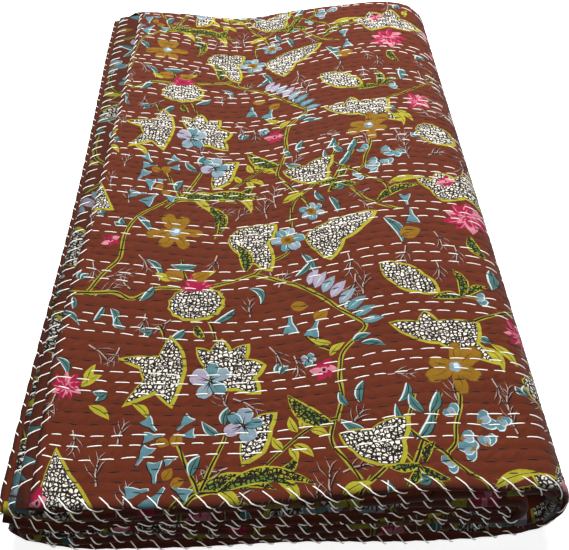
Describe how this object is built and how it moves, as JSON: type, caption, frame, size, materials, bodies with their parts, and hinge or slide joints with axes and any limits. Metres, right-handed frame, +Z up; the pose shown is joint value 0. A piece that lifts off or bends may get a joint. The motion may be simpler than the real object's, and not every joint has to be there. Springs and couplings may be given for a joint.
{
  "type": "kantha quilt",
  "caption": "Printed cotton kantha quilt folded both ways into a rectangular pile of even layers, with whip-stitched hems.",
  "frame": {"origin": "centre of the folded pile's bounding box, at the surface it lies on", "axes": "+X to the right along the front edge, +Y from the front edge to the back, +Z up"},
  "size_m": [0.3784, 0.6522, 0.0649],
  "materials": {
    "quilt_cloth": "soft matte cotton, printed, quilted with rows of running stitches"
  },
  "bodies": {
    "root": {"quilt": "quilt_cloth"}
  },
  "joints": []
}
